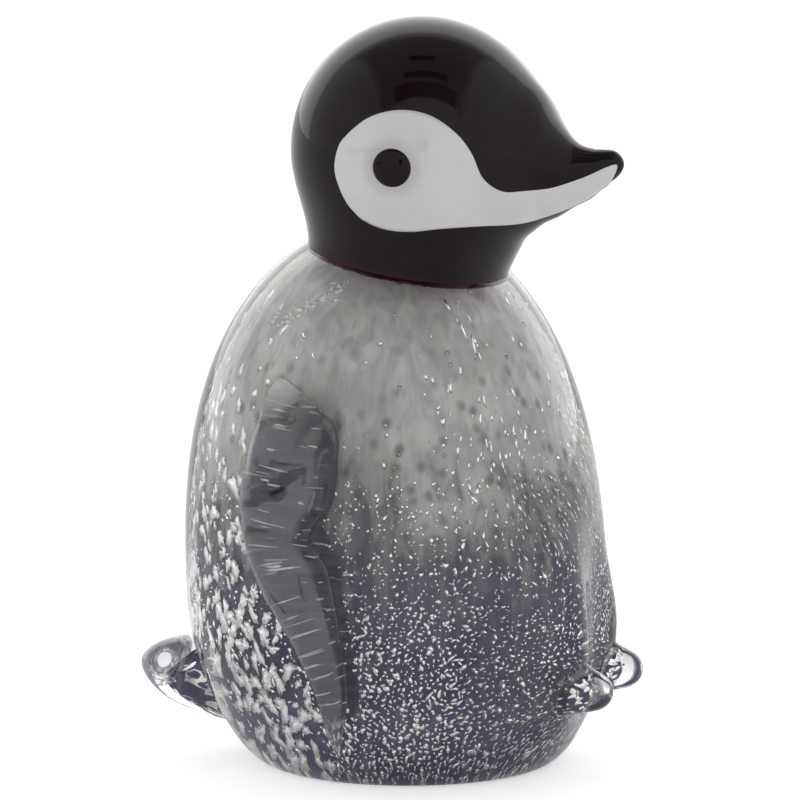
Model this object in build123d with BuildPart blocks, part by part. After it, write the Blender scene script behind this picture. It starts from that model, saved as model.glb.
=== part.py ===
from build123d import *
import math
import os

# Penguin chick of solid, hot-worked glass. A grey glass core with a milky
# white coat on its shoulders and flakes of silver leaf lies under a clear
# casing. The black glass head, the wings, the feet and the tail are fused on.
# Frame: +Z up, origin at the centre of the flat base, the beak towards -Y.
# The penguin's own right side is -X. Lengths in millimetres, angles in degrees.

# Body of clear glass
base_radius = 28.0
belly_radius = 42.3
belly_height = 32.0
crown_rise = 77.5
shoulder_power = 2.6
base_power = 1.65
lean_back = 3.8
lean_height = 93.0
section_count = 7

# Layers from the outside in: the thick clear casing at the belly, at the rim of
# the base, under the core and over its crown, where the core has a small flat
casing_wall = 14.8
casing_foot = 9.0
casing_floor = 2.5
casing_crown = 9.5
crown_flat_radius = 3.0
leaf_thickness = 0.12
veil_thickness = 0.8
veil_bottom_height = 50.0

# Cleft pressed into the belly between the legs
cleft_depth = 4.0
cleft_half_width = 12.0
cleft_top_height = 66.0
cleft_deep_height = 26.0
cleft_bottom_height = 4.0
cleft_end_share = 0.25
cleft_clearance = 1.5

# Seam where the black glass neck is fused to the body
neck_radius = 20.0
neck_step = 0.7
neck_tilt = 9.4

# Skull
skull_radius = 26.2
skull_rise = 22.8
skull_forward = 2.9

# Beak: reach and height of the tip from the skull's centre
beak_reach = 41.6
tip_drop = 1.7
# Shares of the reach, of the skull's radius up and across, and of the droop
beak_reach_shares = (0.30, 0.42, 0.53, 0.615, 0.68, 0.755, 0.845, 0.935, 0.978, 1.0)
beak_height_shares = (0.83, 0.745, 0.61, 0.48, 0.366, 0.256, 0.19, 0.126, 0.076, 0.012)
beak_width_shares = (0.82, 0.72, 0.553, 0.42, 0.344, 0.252, 0.183, 0.118, 0.072, 0.011)
beak_droop = 3.4
beak_droop_shares = (0.0, 0.0, 0.03, 0.18, 0.64, 0.85, 0.69, 0.16, 0.0, 0.0)

# White inlay of each cheek, as shares of the skull's radius from its centre:
# backwards along Y and upwards along Z
inlay_depth = 1.2
inlay_midline_gap = 0.5
inlay_shares = (
    (0.443, -0.053),
    (0.373, 0.206),
    (0.174, 0.376),
    (-0.065, 0.442),
    (-0.294, 0.405),
    (-0.483, 0.276),
    (-0.598, 0.117),
    (-0.673, -0.083),
    (-0.782, -0.202),
    (-0.902, -0.222),
    (-1.101, -0.212),
    (-1.310, -0.147),
    (-1.559, -0.053),
    (-1.480, -0.212),
    (-1.280, -0.357),
    (-1.071, -0.446),
    (-0.872, -0.496),
    (-0.613, -0.471),
    (-0.364, -0.473),
    (-0.135, -0.496),
    (0.064, -0.481),
    (0.224, -0.421),
    (0.353, -0.292),
)

# Eyes: dark domed dots let into the inlays
eye_radius = 3.9
eye_proud = 0.9
eye_depth = 1.0
eye_forward = 0.7
eye_rise = 0.3

# Wings: clear glass laid on the flanks, swollen in the middle like a lens
wing_top_height = 88.0
wing_tip_height = 7.0
wing_half_width = 11.6
wing_swell = 4.6
wing_turn = 104.5
wing_turn_spread = 14.0
# From the tip to the top: shares of the wing's height, of its half width,
# of its swell, and of the turn added to the wing's middle line
wing_height_shares = (0.0, 0.06, 0.14, 0.23, 0.32, 0.41, 0.49, 0.555, 0.64, 0.75, 0.84, 0.90, 0.96)
wing_width_shares = (0.10, 0.17, 0.26, 0.37, 0.50, 0.68, 0.76, 0.70, 0.90, 0.90, 0.84, 0.66, 0.40)
wing_swell_shares = (0.15, 0.32, 0.50, 0.66, 0.82, 0.95, 0.92, 0.80, 0.95, 1.0, 0.88, 0.60, 0.25)
wing_turn_shares = (-0.50, -0.56, -0.65, -0.59, -0.40, -0.13, 0.10, 0.36, 0.19, 0.09, 0.11, 0.45, 0.85)

# Feet: clear nubs drawn out of the two legs
foot_spread = 11.8
foot_height = 18.0
foot_reach = 45.7
foot_radius = 4.6
leg_radius = 5.2
leg_top_height = 36.0
leg_top_reach = 30.0

# Tail: a clear nub drawn out of the back
tail_height = 15.5
tail_reach = 55.6
tail_half_width = 9.0
tail_half_height = 8.7
tail_half_length = 15.0

# Silver leaf: flakes scattered over the back and flanks
flake_count = 60
flake_least_radius = 0.6
flake_most_radius = 1.6
flake_low_height = 12.0
flake_high_height = 88.0
flake_turn_start = 112.0
flake_turn_span = 136.0
flake_turn_step_share = 0.618
flake_size_step_share = 0.383

# Reach of the inlay's outline beyond the skull
overrun = 5.0


def lean_at(height):
    """Backward shift of the body's axis at a height."""
    return lean_back * math.sin(math.pi / 2 * min(height / lean_height, 1.0))


def radius_at(height, inset=0.0):
    """Radius of the body, or of a layer that far inside it, at a height."""
    widest = belly_radius - inset
    if height < belly_height:
        floor = thinned(inset, casing_floor)
        foot = base_radius - thinned(inset, casing_foot)
        fall = (belly_height - height) / (belly_height - floor)
        reach = max(0.0, 1 - fall**base_power) ** (1 / base_power)
        return foot + (widest - foot) * reach
    climb = (height - belly_height) / (crown_rise - thinned(inset, casing_crown))
    return widest * math.sqrt(max(0.0, 1 - climb**shoulder_power))


def thinned(inset, thickness):
    """Depth of a layer where the casing has that thickness instead of its wall."""
    return inset * thickness / casing_wall


def height_at(radius, inset=0.0):
    """Height at which the body, or a layer that far inside it, narrows to a radius."""
    share = radius / (belly_radius - inset)
    rise = crown_rise - thinned(inset, casing_crown)
    return belly_height + rise * (1 - share**2) ** (1 / shoulder_power)


# The seam lies where the body has narrowed to a small step outside the neck
neck_height = height_at(neck_radius + neck_step)
seam = Plane(
    origin=(0, 0, neck_height),
    x_dir=(1, 0, 0),
    z_dir=(0, -math.sin(math.radians(neck_tilt)), math.cos(math.radians(neck_tilt))),
)
skull_height = neck_height + skull_rise


def beside_seam(reach):
    """Block that trims all that lies above the seam, or below it for a reach under zero."""
    with BuildPart() as block:
        with BuildSketch(seam):
            Rectangle(4 * belly_radius, 4 * belly_radius)
        extrude(amount=reach)
    return block.part


def cleft_tool(inset):
    """Spindle that presses the cleft, larger by the inset for inner layers."""
    span = cleft_top_height - cleft_bottom_height
    deep = (cleft_deep_height - cleft_bottom_height) / span
    with BuildPart() as tool:
        for step in range(section_count):
            share = step / (section_count - 1)
            height = cleft_bottom_height + span * share
            side = share / deep if share < deep else (1 - share) / (1 - deep)
            swell = math.sin(math.pi / 2 * side)
            front = lean_at(height) - radius_at(height)
            width = cleft_half_width * (cleft_end_share + (1 - cleft_end_share) * swell)
            depth = cleft_depth * swell + cleft_clearance
            with BuildSketch(Plane.XY.offset(height)):
                with Locations((0, front - cleft_clearance)):
                    Ellipse(width + inset, depth + inset)
        loft()
    return tool.part


def gather(inset):
    """The body, or the surface of a layer that far inside it, up to the seam."""
    floor = thinned(inset, casing_floor)
    seam_top = neck_height + neck_radius * math.sin(math.radians(neck_tilt))
    top = min(seam_top, height_at(crown_flat_radius, inset))
    with BuildPart() as form:
        for step in range(section_count):
            share = step / (section_count - 1)
            height = floor + (belly_height - floor) * (1 - math.cos(math.pi / 2 * share))
            with BuildSketch(Plane.XY.offset(height)):
                with Locations((0, lean_at(height))):
                    Circle(radius_at(height, inset))
        for step in range(1, section_count + 1):
            share = math.sin(math.pi / 2 * step / section_count)
            height = belly_height + (top - belly_height) * share
            with BuildSketch(Plane.XY.offset(height)):
                with Locations((0, lean_at(height))):
                    Circle(radius_at(height, inset))
        loft()
        add(beside_seam(crown_rise), mode=Mode.SUBTRACT)
        add(cleft_tool(inset), mode=Mode.SUBTRACT)
    return form.part


def head_form(inset):
    """Skull, neck skirt and beak, or the same surface that far inside them."""
    with BuildPart() as form:
        for step in range(section_count):
            share = step / (section_count - 1)
            height = neck_height + skull_rise * share
            tilt = math.radians(neck_tilt * (1 - share))
            ring = Plane(
                origin=(0, -skull_forward * share, height),
                x_dir=(1, 0, 0),
                z_dir=(0, -math.sin(tilt), math.cos(tilt)),
            )
            swell = math.sin(math.pi / 2 * share)
            with BuildSketch(ring):
                Circle(neck_radius + (skull_radius - neck_radius) * swell - inset)
        loft()
        with Locations((0, -skull_forward, skull_height)):
            Sphere(skull_radius - inset)
        tables = zip(beak_reach_shares, beak_height_shares, beak_width_shares, beak_droop_shares)
        with BuildPart(mode=Mode.PRIVATE) as beak:
            for reach, rise, width, droop in tables:
                if skull_radius * min(width, rise) <= inset:
                    continue
                forward = skull_forward + (beak_reach - inset) * reach
                drop = tip_drop * reach + beak_droop * droop
                with BuildSketch(Plane.XZ.offset(forward)):
                    with Locations((0, skull_height - drop)):
                        Ellipse(skull_radius * width - inset, skull_radius * rise - inset)
            loft()
        add(beak.part)
        add(beside_seam(-skull_radius), mode=Mode.SUBTRACT)
    return form.part


def ball(half_x, half_y, half_z):
    """Rounded nub with its own half sizes along each axis."""
    with BuildPart() as nub:
        Sphere(1)
        scale(by=(half_x, half_y, half_z))
    return nub.part


whole_body = gather(0)
leaf_bed = gather(casing_wall)
core_bed = gather(casing_wall + leaf_thickness)
whole_head = head_form(0)
inlay_bed = head_form(inlay_depth)

# Clear casing over everything inside the body
with BuildPart() as clear_casing:
    add(whole_body)
    add(leaf_bed, mode=Mode.SUBTRACT)

# Milky white coat round the core's shoulders
with BuildPart() as white_veil:
    add(core_bed)
    add(gather(casing_wall + leaf_thickness + veil_thickness), mode=Mode.SUBTRACT)
    with BuildSketch(Plane.XY.offset(veil_bottom_height)):
        Rectangle(4 * belly_radius, 4 * belly_radius)
    extrude(amount=-belly_height - veil_bottom_height, mode=Mode.SUBTRACT)

# Grey glass core
with BuildPart() as grey_core:
    add(core_bed)
    add(white_veil.part, mode=Mode.SUBTRACT)

# Flakes of silver leaf, pressed between the core and the casing
with BuildPart() as silver_leaf:
    for flake in range(flake_count):
        turn = flake_turn_start + flake_turn_span * (flake * flake_turn_step_share % 1)
        turn = math.radians(turn)
        height = flake_low_height
        height += (flake_high_height - flake_low_height) * flake / (flake_count - 1)
        spread = flake * flake_size_step_share % 1
        size = flake_least_radius + (flake_most_radius - flake_least_radius) * spread
        outward = (-math.sin(turn), -math.cos(turn), 0)
        reach = radius_at(height, casing_wall)
        middle = (outward[0] * reach, lean_at(height) + outward[1] * reach, height)
        with BuildSketch(Plane(origin=middle, z_dir=outward)):
            RegularPolygon(size, 5 + flake % 3)
        extrude(amount=casing_wall, both=True)
    add(leaf_bed, mode=Mode.INTERSECT)
    add(core_bed, mode=Mode.SUBTRACT)

# Dark eye of the right side: a short plug with a domed face
eye_height = skull_height + eye_rise
eye_middle = -skull_forward - eye_forward
rim_drop = skull_radius - math.sqrt(skull_radius**2 - eye_radius**2)
eye_plane = Plane(origin=(-skull_radius, eye_middle, eye_height), x_dir=(-1, 0, 0), z_dir=(0, 0, 1))
with BuildPart() as right_eye:
    with BuildSketch(eye_plane):
        with BuildLine():
            Polyline((eye_proud, 0), (-eye_depth, 0), (-eye_depth, eye_radius), (-rim_drop, eye_radius))
            rim_turn = math.atan2(eye_radius, eye_proud + rim_drop)
            dome = eye_radius / math.sin(math.pi - 2 * rim_turn)
            half_turn = (math.pi - 2 * rim_turn) / 2
            crest = eye_proud - dome * (1 - math.cos(half_turn))
            ThreePointArc((-rim_drop, eye_radius), (crest, dome * math.sin(half_turn)), (eye_proud, 0))
        make_face()
    revolve(axis=Axis(eye_plane.origin, (1, 0, 0)))

# White inlay of the right cheek, running out along the beak
with BuildPart() as right_face_patch:
    with BuildSketch(Plane.YZ.offset(-inlay_midline_gap)):
        with BuildLine():
            outline = [
                (skull_radius * back - skull_forward, skull_height + skull_radius * up)
                for back, up in inlay_shares
            ]
            Spline(*outline, periodic=True)
        make_face()
    extrude(amount=-skull_radius - overrun)
    add(whole_head, mode=Mode.INTERSECT)
    add(inlay_bed, mode=Mode.SUBTRACT)
    add(right_eye.part, mode=Mode.SUBTRACT)

with BuildPart() as left_eye:
    add(mirror(right_eye.part, about=Plane.YZ, mode=Mode.PRIVATE))

with BuildPart() as left_face_patch:
    add(mirror(right_face_patch.part, about=Plane.YZ, mode=Mode.PRIVATE))

# Black glass head with its neck and beak
with BuildPart() as head:
    add(whole_head)
    for piece in (right_face_patch, left_face_patch, right_eye, left_eye):
        add(piece.part, mode=Mode.SUBTRACT)

# Clear wing on the right flank
with BuildPart() as right_wing:
    tables = zip(wing_height_shares, wing_width_shares, wing_swell_shares, wing_turn_shares)
    for height_share, width_share, swell_share, turn_share in tables:
        height = wing_tip_height + (wing_top_height - wing_tip_height) * height_share
        turn = math.radians(wing_turn + wing_turn_spread * turn_share)
        half_width = wing_half_width * width_share
        chord = math.sqrt(radius_at(height) ** 2 - half_width**2)
        thick = radius_at(height) - chord + wing_swell * swell_share
        middle = (-chord * math.sin(turn), lean_at(height) - chord * math.cos(turn), height)
        with BuildSketch(Plane(origin=middle, x_dir=(-math.cos(turn), math.sin(turn), 0), z_dir=(0, 0, 1))):
            Ellipse(half_width, thick)
    loft()
    add(whole_body, mode=Mode.SUBTRACT)

with BuildPart() as left_wing:
    add(mirror(right_wing.part, about=Plane.YZ, mode=Mode.PRIVATE))

# Clear nubs of the feet, each drawn out from the lower end of a leg
foot_middle = Vector(-foot_spread, foot_radius - foot_reach, foot_height)
leg_top = Vector(-foot_spread, -leg_top_reach, leg_top_height)
leg = foot_middle - leg_top
with BuildPart() as right_foot:
    with BuildSketch(Plane(origin=leg_top, z_dir=leg)):
        Circle(leg_radius)
    with BuildSketch(Plane(origin=foot_middle, z_dir=leg)):
        Circle(foot_radius)
    loft()
    with Locations(foot_middle):
        Sphere(foot_radius)
    add(whole_body, mode=Mode.SUBTRACT)

with BuildPart() as left_foot:
    add(mirror(right_foot.part, about=Plane.YZ, mode=Mode.PRIVATE))

# Clear nub of the tail
with BuildPart() as tail:
    with Locations((0, tail_reach - tail_half_length, tail_height)):
        add(ball(tail_half_width, tail_half_length, tail_half_height))
    add(whole_body, mode=Mode.SUBTRACT)

pieces = {
    "clear_casing": clear_casing,
    "white_veil": white_veil,
    "grey_core": grey_core,
    "silver_leaf": silver_leaf,
    "head": head,
    "right_face_patch": right_face_patch,
    "left_face_patch": left_face_patch,
    "right_eye": right_eye,
    "left_eye": left_eye,
    "right_wing": right_wing,
    "left_wing": left_wing,
    "right_foot": right_foot,
    "left_foot": left_foot,
    "tail": tail,
}
for name, piece in pieces.items():
    piece.part.label = name
    export_step(piece.part, f"parts/{name}.step")
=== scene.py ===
import math

import bpy
import numpy as np
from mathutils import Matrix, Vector


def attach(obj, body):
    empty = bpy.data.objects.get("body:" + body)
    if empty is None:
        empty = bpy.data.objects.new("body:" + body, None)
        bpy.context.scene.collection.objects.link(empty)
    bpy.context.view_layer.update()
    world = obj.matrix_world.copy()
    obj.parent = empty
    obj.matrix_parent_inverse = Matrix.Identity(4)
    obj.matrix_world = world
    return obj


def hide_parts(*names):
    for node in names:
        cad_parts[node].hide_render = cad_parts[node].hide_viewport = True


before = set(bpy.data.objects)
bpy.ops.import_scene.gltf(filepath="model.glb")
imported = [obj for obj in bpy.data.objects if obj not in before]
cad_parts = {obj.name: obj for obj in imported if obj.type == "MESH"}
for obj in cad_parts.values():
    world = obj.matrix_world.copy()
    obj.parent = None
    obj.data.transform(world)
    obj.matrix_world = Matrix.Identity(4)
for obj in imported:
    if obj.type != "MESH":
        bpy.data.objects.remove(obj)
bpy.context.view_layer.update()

# Penguin chick of hot-worked glass. Shapes are worked out in millimetres, in
# the frame's axes: +Z up, beak towards -Y, the penguin's own right side at -X.
# A turn is the angle round the body from the front (-Y) towards -X.

MM = 0.001
SIDES = (("right", -1), ("left", 1))

# Body
BASE_RADIUS = 28.0
BELLY_RADIUS = 42.3
BELLY_HEIGHT = 32.0
CROWN_RISE = 77.5
SHOULDER_POWER = 2.6
BASE_POWER = 1.65
LEAN_BACK = 3.8
LEAN_HEIGHT = 93.0
NECK_RADIUS = 20.0
NECK_STEP = 0.7
NECK_TILT = math.radians(9.4)

# Layers, as depths under the body's surface: at the belly, at the rim of the
# base, under the core and over its crown
CASING_WALL = 14.8
CASING_FOOT = 9.0
CASING_FLOOR = 2.5
CASING_CROWN = 9.5
CROWN_FLAT = 1.0
LEAF_THICKNESS = 0.12
VEIL_THICKNESS = 0.8
VEIL_BOTTOM = 20.0

# Cleft between the legs, and the ridge of each leg
CLEFT_DEPTH = 2.6
CLEFT_HALF_WIDTH = 15.0
CLEFT_TOP = 68.0
CLEFT_DEEP = 27.0
CLEFT_BOTTOM = 3.0
LEG_TURN = 16.5
LEG_SPREAD = 9.0
LEG_SWELL = 2.0
LEG_TOP = 46.0
LEG_DEEP = 22.0
LEG_BOTTOM = 6.0

# Core drawn out into the legs, the feet and the tail: how far, and its spreads
# round the body in degrees and in height
LEGS_DRAWN = 10.5
LEGS_DRAWN_SIDES = (26, 62)
LEGS_DRAWN_RISE = (2, 16)
LEGS_DRAWN_FALL = (40, 66)
FOOT_DRAWN = 8.0
FOOT_DRAWN_TURN = 7
FOOT_DRAWN_SPREAD = 5.0
TAIL_DRAWN = 22.5
TAIL_DRAWN_TURN = 12
TAIL_DRAWN_SPREAD = 6.5

# Head
SKULL_RADIUS = 26.2
SKULL_RISE = 22.8
SKULL_FORWARD = 2.9
NECK_SINK = 1.4
NECK_POWER = 1.35
NECK_BULGE = 0.6
BEAK_REACH = 41.6
TIP_DROP = 1.7
BEAK_DROOP = 3.4
BEAK_CAP = 0.94
BEAK_SHARES = np.array((0.30, 0.42, 0.53, 0.615, 0.68, 0.755, 0.845, 0.94, 1.0))
BEAK_HEIGHTS = np.array((0.83, 0.745, 0.61, 0.48, 0.366, 0.256, 0.19, 0.122, 0.09))
BEAK_WIDTHS = np.array((0.82, 0.72, 0.553, 0.42, 0.344, 0.252, 0.183, 0.116, 0.085))
BEAK_DROOPS = np.array((0.0, 0.0, 0.03, 0.18, 0.64, 0.85, 0.69, 0.14, 0.0))
BEAK_FILLET = 0.8
HEAD_SPAN = 60.0

# Cheek inlay: edges from its round back end to the beak's tip, as shares of
# the skull's radius from the skull's centre, backwards and upwards
INLAY_TOP = np.array((
    (0.446, -0.053), (0.434, 0.080), (0.373, 0.206), (0.174, 0.376), (-0.065, 0.442),
    (-0.294, 0.405), (-0.483, 0.276), (-0.598, 0.117), (-0.673, -0.083), (-0.782, -0.202),
    (-0.902, -0.222), (-1.101, -0.212), (-1.311, -0.147), (-1.545, -0.053)))
INLAY_BOTTOM = np.array((
    (0.446, -0.053), (0.405, -0.190), (0.353, -0.292), (0.295, -0.362), (0.224, -0.421),
    (0.064, -0.481), (-0.135, -0.496), (-0.364, -0.473), (-0.613, -0.471), (-0.872, -0.496),
    (-1.071, -0.446), (-1.280, -0.357), (-1.480, -0.212), (-1.545, -0.053)))
INLAY_PROUD = 0.04
INLAY_DEPTH = 0.6

# Eye
EYE_RADIUS = 3.9
EYE_PROUD = 0.9
EYE_BACK = 0.5
EYE_FORWARD = 0.7
EYE_RISE = 0.3

# Wing: tables from its tip to its top, of shares of its height, half width,
# swell and turn
WING_TOP = 88.0
WING_TIP = 7.0
WING_REACH = 0.93
WING_HALF_WIDTH = 11.6
WING_SWELL = 4.6
WING_TURN = 104.5
WING_TURN_SPREAD = 14.0
WING_SHARES = np.array((0.0, 0.06, 0.14, 0.23, 0.32, 0.41, 0.49, 0.555, 0.64, 0.75, 0.84, 0.90, 0.98))
WING_WIDTHS = np.array((0.10, 0.17, 0.26, 0.37, 0.50, 0.68, 0.76, 0.69, 0.90, 0.90, 0.80, 0.58, 0.30))
WING_SWELLS = np.array((0.15, 0.32, 0.50, 0.66, 0.82, 0.95, 0.92, 0.76, 0.95, 0.88, 0.44, 0.14, 0.02))
WING_TURNS = np.array((-0.50, -0.56, -0.65, -0.59, -0.40, -0.13, 0.10, 0.36, 0.19, 0.09, 0.11, 0.45, 0.90))
WING_EDGE_POWER = 0.55
WING_SOFT_EDGE = 0.8
WING_SINK = 0.6
LINING_SHARES = (0.04, 0.91)
LINING_WIDTH = 0.96
LINING_DEPTH = 2.4
LINING_THICKNESS = 0.3

# Feet and tail
FOOT_SPREAD = 11.8
FOOT_HEIGHT = 18.0
FOOT_REACH = 45.4
FOOT_RADIUS = 4.3
FOOT_POWER = 2.3
FOOT_FLARE = 1.2
TAIL_HEIGHT = 14.0
TAIL_REACH = 55.3
TAIL_HALF_WIDTH = 8.6
TAIL_HALF_HEIGHT = 8.2
TAIL_POWER = 1.85
TAIL_FLARE = 0.6
TAIL_RISE = 2.8
NUB_SINK = 0.6
# The rings at the swirl's centre paint the tail's loop of highlight and its dark refracted ring.
SWIRL_CENTRE = (0.0, 49.3, 16.8)
SWIRL_RADIUS = 3.7
SWIRL_WIDTH = 2.6
SWIRL_SQUASH = 0.86
SWIRL_RINGS = ((1.0, 0.62), (0.74, 0.34), (0.52, 0.42))

# Large flakes down the back: their field's edge in degrees, and how far it
# moves back between two heights
FLAKE_TURNS = (100, 260)
FLAKE_SPACING = 2.9
BACK_EDGE = (106, 116)
BACK_SHIFT = 24
BACK_SHIFT_HEIGHTS = (16, 46)

# Specks: the heights between which the low field gives way to the high one.
# They are laid narrower than they look, because the casing widens them.
LOW_SPACING = 0.98
HIGH_SPACING = 1.1
SPECKS_CHANGE = (28, 46)
LENS_SQUEEZE = 0.8

# Ribbon of leaf by the neck, streaks under the wings, as (count, place across,
# length), and gas seeds
RIBBON_FLAKES = 44
RIBBON_TURN = 131
RIBBON_SWEEP = 29
RIBBON_HEIGHT = 90
RIBBON_CLIMB = 8.5
RIBBON_DEPTH = 3.0
STREAK_COLUMNS = ((26, 0.42, 4.2), (22, -0.45, 2.2))
SEED_COUNT = 80
SEED_HEIGHTS = (14, 92)
SEED_DEPTHS = (3.0, 11.0)

# Materials
GLASS_INDEX = 1.5
FUSED = {"Roughness": 0.6, "Specular IOR Level": 0.0}

# Camera: the photograph's angle, with its scale in pixels for each millimetre
VIEW_AZIMUTH = math.radians(-75.0)
VIEW_ELEVATION = math.radians(11.0)
VIEW_DISTANCE = 5.0
IMAGE_SIZE = 800
PIXELS_PER_MM = 4.99
ORIGIN_PIXEL = (408, 757)

FLOOR_GAP = 0.05
FLOOR_HALF = 3000.0
WHITE = (1.0, 1.0, 1.0, 1.0)

# Brightness of the tent towards the camera and behind the object, and where
# one gives way to the other
FRONT_LIGHT = 1.12
BACK_LIGHT = 2.1
LIGHT_EDGE = (-0.46, -0.52)
FLOOR_GLOW = (0.1, 0.42)

# Darker panels of the tent, as (across, above, half width, half height, level)
# in front of the object, and as (across, ahead, half width, half depth, level)
# over it
DARK_PANELS = (
    (0.0, 0.0, 0.09, 0.12, 0.04),
    (-0.90, -0.22, 0.06, 0.13, 0.06),
    (-0.80, -0.05, 0.14, 0.025, 0.12),
)
OVERHEAD_PANELS = (
    (0.0, 0.16, 0.56, 0.56, 0.45),
    (0.0, 0.10, 0.14, 0.05, 0.0),
    (0.04, 0.40, 0.27, 0.05, 0.02),
    (0.05, 0.62, 0.42, 0.10, 0.06),
)

rng = np.random.default_rng(7)


# Small tools

def ease(low, high, value):
    """Smooth step: 0 under low, 1 over high."""
    share = np.clip((value - low) / (high - low), 0.0, 1.0)
    return share * share * (3 - 2 * share)


def smooth_table(x, xs, ys):
    """Cubic through the table's points, with the mean slope of its two sides at each."""
    slopes = np.gradient(ys, xs)
    k = np.clip(np.searchsorted(xs, x) - 1, 0, len(xs) - 2)
    step = xs[k + 1] - xs[k]
    t = np.clip((x - xs[k]) / step, 0.0, 1.0)
    rise, fall = t**3 - 2 * t**2 + t, t**3 - t**2
    blend = 3 * t**2 - 2 * t**3
    return ys[k] * (1 - blend) + ys[k + 1] * blend + step * (slopes[k] * rise + slopes[k + 1] * fall)


def solve(inside, low, high):
    """Bisection: the value between low and high where inside() turns from true to false."""
    for _ in range(34):
        middle = (low + high) / 2
        kept = inside(middle)
        low, high = np.where(kept, middle, low), np.where(kept, high, middle)
    return (low + high) / 2


def add_mesh(name, points, faces, slot, nodes=(), attributes=None):
    """Makes a smooth mesh with outward faces from points in millimetres and puts it on the body."""
    faces = np.asarray(faces)
    volume = 0.0
    for corners in ((0, 1, 2), (0, 2, 3))[:faces.shape[1] - 2]:
        a, b, c = (points[faces[:, k]] for k in corners)
        volume += (a * np.cross(b, c)).sum()
    if volume < 0:
        faces = faces[:, ::-1]
    mesh = bpy.data.meshes.new(name)
    mesh.from_pydata((points * MM).tolist(), [], [list(dict.fromkeys(face)) for face in faces.tolist()])
    mesh.polygons.foreach_set("use_smooth", np.ones(len(mesh.polygons), dtype=bool))
    for key, values in (attributes or {}).items():
        layer = mesh.attributes.new(key, "FLOAT", "POINT")
        layer.data.foreach_set("value", np.asarray(values, dtype=np.float32).ravel())
    piece = bpy.data.objects.new(name, mesh)
    bpy.context.scene.collection.objects.link(piece)
    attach(piece, "root")
    if nodes:
        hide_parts(*nodes)
    return piece


def closed_skin(rings, start, end):
    """Closed surface from rings of points (rings, round, xyz) and the pole that closes each end."""
    count, around = rings.shape[:2]
    index = np.arange(count * around).reshape(count, around)
    ahead = np.roll(index, -1, axis=1)
    quads = np.stack((index[:-1], ahead[:-1], ahead[1:], index[1:]), axis=-1).reshape(-1, 4)
    first, last = count * around, count * around + 1
    fan = np.stack((np.full(around, first), np.full(around, first), ahead[0], index[0]), axis=-1)
    tail = np.stack((index[-1], ahead[-1], np.full(around, last), np.full(around, last)), axis=-1)
    points = np.concatenate((rings.reshape(-1, 3), np.reshape((start, end), (2, 3))))
    return points, np.concatenate((fan, quads, tail))


# Body

def lean(z):
    """Backward shift of the axis: a quarter sine of the height."""
    return LEAN_BACK * np.sin(np.pi / 2 * np.clip(z / LEAN_HEIGHT, 0.0, 1.0))


def profile(z, depth):
    """Radius at a height for a layer at a depth: a superellipse above the belly, one below it."""
    share = np.maximum(depth, 0.0) / CASING_WALL
    foot, widest = BASE_RADIUS - share * CASING_FOOT, BELLY_RADIUS - depth
    fall = np.clip((BELLY_HEIGHT - z) / (BELLY_HEIGHT - share * CASING_FLOOR), 0.0, 1.0)
    low = foot + (widest - foot) * (1 - fall**BASE_POWER) ** (1 / BASE_POWER)
    climb = np.clip((z - BELLY_HEIGHT) / (CROWN_RISE - share * CASING_CROWN), 0.0, 1.0)
    high = widest * np.sqrt(1 - climb**SHOULDER_POWER)
    return np.where(z < BELLY_HEIGHT, low, high)


def cleft(turn, z):
    """Depth of the press between the legs: a bell across, rising and falling with the height."""
    across = np.abs((turn + np.pi) % (2 * np.pi) - np.pi) * BELLY_RADIUS / CLEFT_HALF_WIDTH
    bell = 0.5 + 0.5 * np.cos(np.pi * np.clip(across, 0.0, 1.0))
    along = ease(CLEFT_BOTTOM, CLEFT_DEEP, z) * (1 - ease(CLEFT_DEEP, CLEFT_TOP, z))
    return CLEFT_DEPTH * bell * along


def legs(turn, z):
    """Swell of the two leg ridges: a bell across each, growing down to the foot."""
    front = np.degrees(np.abs((turn + np.pi) % (2 * np.pi) - np.pi))
    bell = np.exp(-(((front - LEG_TURN) / LEG_SPREAD) ** 2))
    return LEG_SWELL * bell * ease(LEG_BOTTOM, LEG_DEEP, z) * (1 - ease(LEG_DEEP, LEG_TOP, z))


def drawn(turn, z):
    """How far the core follows the legs, feet and tail that were drawn out of it, in soft bumps."""
    around = np.degrees(np.abs((turn + np.pi) % (2 * np.pi) - np.pi))
    front = (1 - ease(*LEGS_DRAWN_SIDES, around)) * ease(*LEGS_DRAWN_RISE, z) * (1 - ease(*LEGS_DRAWN_FALL, z))

    def bump(turn_there, spread, height, tall):
        return np.exp(-(((around - turn_there) / spread) ** 2) - (((z - height) / tall) ** 2))

    foot = bump(LEG_TURN, FOOT_DRAWN_TURN, FOOT_HEIGHT, FOOT_DRAWN_SPREAD)
    tail = bump(180, TAIL_DRAWN_TURN, TAIL_HEIGHT, TAIL_DRAWN_SPREAD)
    return LEGS_DRAWN * front + FOOT_DRAWN * foot + TAIL_DRAWN * tail


def body_point(turn, z, depth=0.0, lift=0.0):
    """Point of the body at a turn and height, that far under its surface or lifted off it."""
    inner = np.clip(depth / CASING_WALL, 0.0, 1.0)
    reach = profile(z, depth) - cleft(turn, z) + legs(turn, z) * (1 - inner) + drawn(turn, z) * inner + lift
    return np.stack(np.broadcast_arrays(-reach * np.sin(turn), lean(z) - reach * np.cos(turn), z), axis=-1)


def height_at(radius, depth=0.0):
    """Height at which a layer narrows to a radius."""
    share = radius / (BELLY_RADIUS - depth)
    rise = CROWN_RISE - CASING_CROWN * depth / CASING_WALL
    return BELLY_HEIGHT + rise * (1 - share**2) ** (1 / SHOULDER_POWER)


NECK_HEIGHT = height_at(NECK_RADIUS + NECK_STEP)
SKULL = np.array((0.0, -SKULL_FORWARD, NECK_HEIGHT + SKULL_RISE))


def seam_height(turn, radius):
    """Height of the tilted seam plane at a turn, that far from the body's axis."""
    return NECK_HEIGHT + math.tan(NECK_TILT) * (LEAN_BACK - radius * np.cos(turn))


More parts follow.
